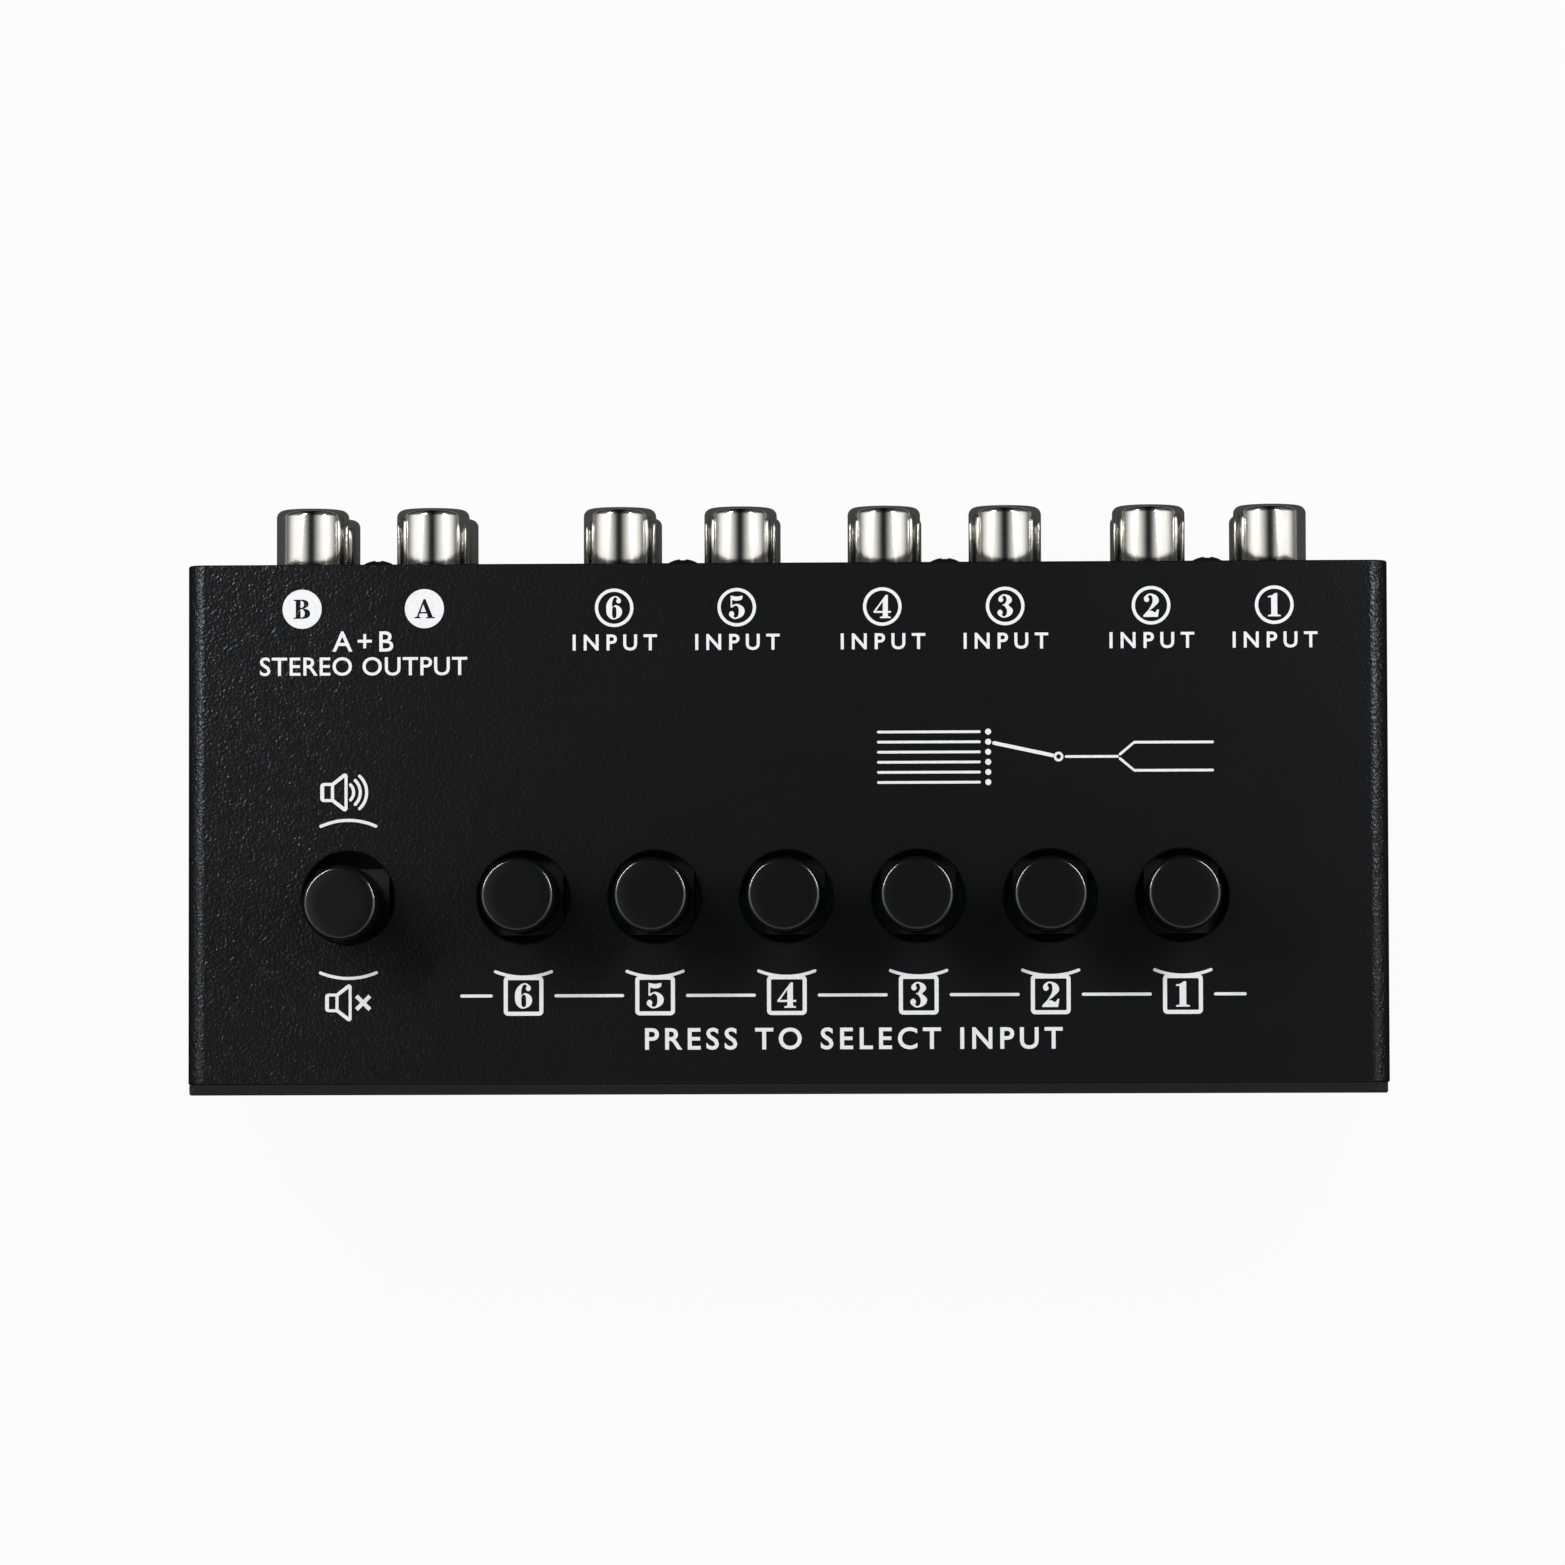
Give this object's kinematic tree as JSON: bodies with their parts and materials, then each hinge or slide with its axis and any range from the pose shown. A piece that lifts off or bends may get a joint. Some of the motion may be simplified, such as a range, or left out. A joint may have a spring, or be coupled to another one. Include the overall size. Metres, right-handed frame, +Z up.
{
  "type": "audio source selector",
  "caption": "Flat black sheet-steel audio switch box: phono jacks in square groups along the rear edge and a row of round latching push buttons standing up through the top.",
  "frame": {"origin": "under the middle of the whole object, on the surface that the feet stand on", "axes": "+X to the right seen from the front, +Y to the rear where the jacks are, +Z up"},
  "size_m": [0.1404, 0.0678, 0.055],
  "materials": {
    "black_powder_coat": "fine wrinkle powder coat",
    "black_screw": "black oxide",
    "foot_rubber": "matt",
    "nickel_shell": "bright nickel plate",
    "white_insert": "gloss",
    "red_insert": "gloss",
    "jack_plastic": "moulded",
    "tinned_metal": "tin plate",
    "cap_plastic": "satin",
    "plunger_plastic": "moulded",
    "switch_plastic": "moulded",
    "spring_steel": "bright wire",
    "circuit_board": "green solder mask",
    "header_plastic": "moulded",
    "spacer_brass": "turned",
    "zinc_screw": "zinc plate"
  },
  "bodies": {
    "chassis": {"top_cover": "black_powder_coat", "base_tray": "black_powder_coat", "rubber_feet": "foot_rubber", "cover_screws": "black_screw", "jack_screws": "black_screw", "board_spacers": "spacer_brass", "board_pillars": "spacer_brass", "board_screws": "zinc_screw", "main_board": "circuit_board", "switch_board": "circuit_board", "link_header": "header_plastic", "switch_terminals": "tinned_metal", "outputs_jack_housing": "jack_plastic", "outputs_jack_shells": "nickel_shell", "outputs_white_inserts": "white_insert", "outputs_red_inserts": "red_insert", "outputs_jack_contacts": "tinned_metal", "inputs_6_5_jack_housing": "jack_plastic", "inputs_6_5_jack_shells": "nickel_shell", "inputs_6_5_white_inserts": "white_insert", "inputs_6_5_red_inserts": "red_insert", "inputs_6_5_jack_contacts": "tinned_metal", "inputs_4_3_jack_housing": "jack_plastic", "inputs_4_3_jack_shells": "nickel_shell", "inputs_4_3_white_inserts": "white_insert", "inputs_4_3_red_inserts": "red_insert", "inputs_4_3_jack_contacts": "tinned_metal", "inputs_2_1_jack_housing": "jack_plastic", "inputs_2_1_jack_shells": "nickel_shell", "inputs_2_1_white_inserts": "white_insert", "inputs_2_1_red_inserts": "red_insert", "inputs_2_1_jack_contacts": "tinned_metal", "mute_switch_housing": "switch_plastic", "mute_return_spring": "spring_steel", "channel_6_switch_housing": "switch_plastic", "channel_6_return_spring": "spring_steel", "channel_5_switch_housing": "switch_plastic", "channel_5_return_spring": "spring_steel", "channel_4_switch_housing": "switch_plastic", "channel_4_return_spring": "spring_steel", "channel_3_switch_housing": "switch_plastic", "channel_3_return_spring": "spring_steel", "channel_2_switch_housing": "switch_plastic", "channel_2_return_spring": "spring_steel", "channel_1_switch_housing": "switch_plastic", "channel_1_return_spring": "spring_steel"},
    "mute_button": {"mute_cap": "cap_plastic", "mute_plunger": "plunger_plastic"},
    "channel_6_button": {"channel_6_cap": "cap_plastic", "channel_6_plunger": "plunger_plastic"},
    "channel_5_button": {"channel_5_cap": "cap_plastic", "channel_5_plunger": "plunger_plastic"},
    "channel_4_button": {"channel_4_cap": "cap_plastic", "channel_4_plunger": "plunger_plastic"},
    "channel_3_button": {"channel_3_cap": "cap_plastic", "channel_3_plunger": "plunger_plastic"},
    "channel_2_button": {"channel_2_cap": "cap_plastic", "channel_2_plunger": "plunger_plastic"},
    "channel_1_button": {"channel_1_cap": "cap_plastic", "channel_1_plunger": "plunger_plastic"}
  },
  "joints": [
    {"name": "mute_press", "type": "slide", "parent": "chassis", "child": "mute_button", "axis": [0, 0, -1], "range_m": [0, 0.0025], "stiffness_N_per_m": 300, "springref_m": -0.003, "deforming": ["mute_return_spring"]},
    {"name": "channel_6_press", "type": "slide", "parent": "chassis", "child": "channel_6_button", "axis": [0, 0, -1], "range_m": [0, 0.0025], "stiffness_N_per_m": 300, "springref_m": -0.003, "deforming": ["channel_6_return_spring"]},
    {"name": "channel_5_press", "type": "slide", "parent": "chassis", "child": "channel_5_button", "axis": [0, 0, -1], "range_m": [0, 0.0025], "stiffness_N_per_m": 300, "springref_m": -0.003, "deforming": ["channel_5_return_spring"]},
    {"name": "channel_4_press", "type": "slide", "parent": "chassis", "child": "channel_4_button", "axis": [0, 0, -1], "range_m": [0, 0.0025], "stiffness_N_per_m": 300, "springref_m": -0.003, "deforming": ["channel_4_return_spring"]},
    {"name": "channel_3_press", "type": "slide", "parent": "chassis", "child": "channel_3_button", "axis": [0, 0, -1], "range_m": [0, 0.0025], "stiffness_N_per_m": 300, "springref_m": -0.003, "deforming": ["channel_3_return_spring"]},
    {"name": "channel_2_press", "type": "slide", "parent": "chassis", "child": "channel_2_button", "axis": [0, 0, -1], "range_m": [0, 0.0025], "stiffness_N_per_m": 300, "springref_m": -0.003, "deforming": ["channel_2_return_spring"]},
    {"name": "channel_1_press", "type": "slide", "parent": "chassis", "child": "channel_1_button", "axis": [0, 0, -1], "range_m": [0, 0.0025], "stiffness_N_per_m": 300, "springref_m": -0.003, "deforming": ["channel_1_return_spring"]}
  ]
}
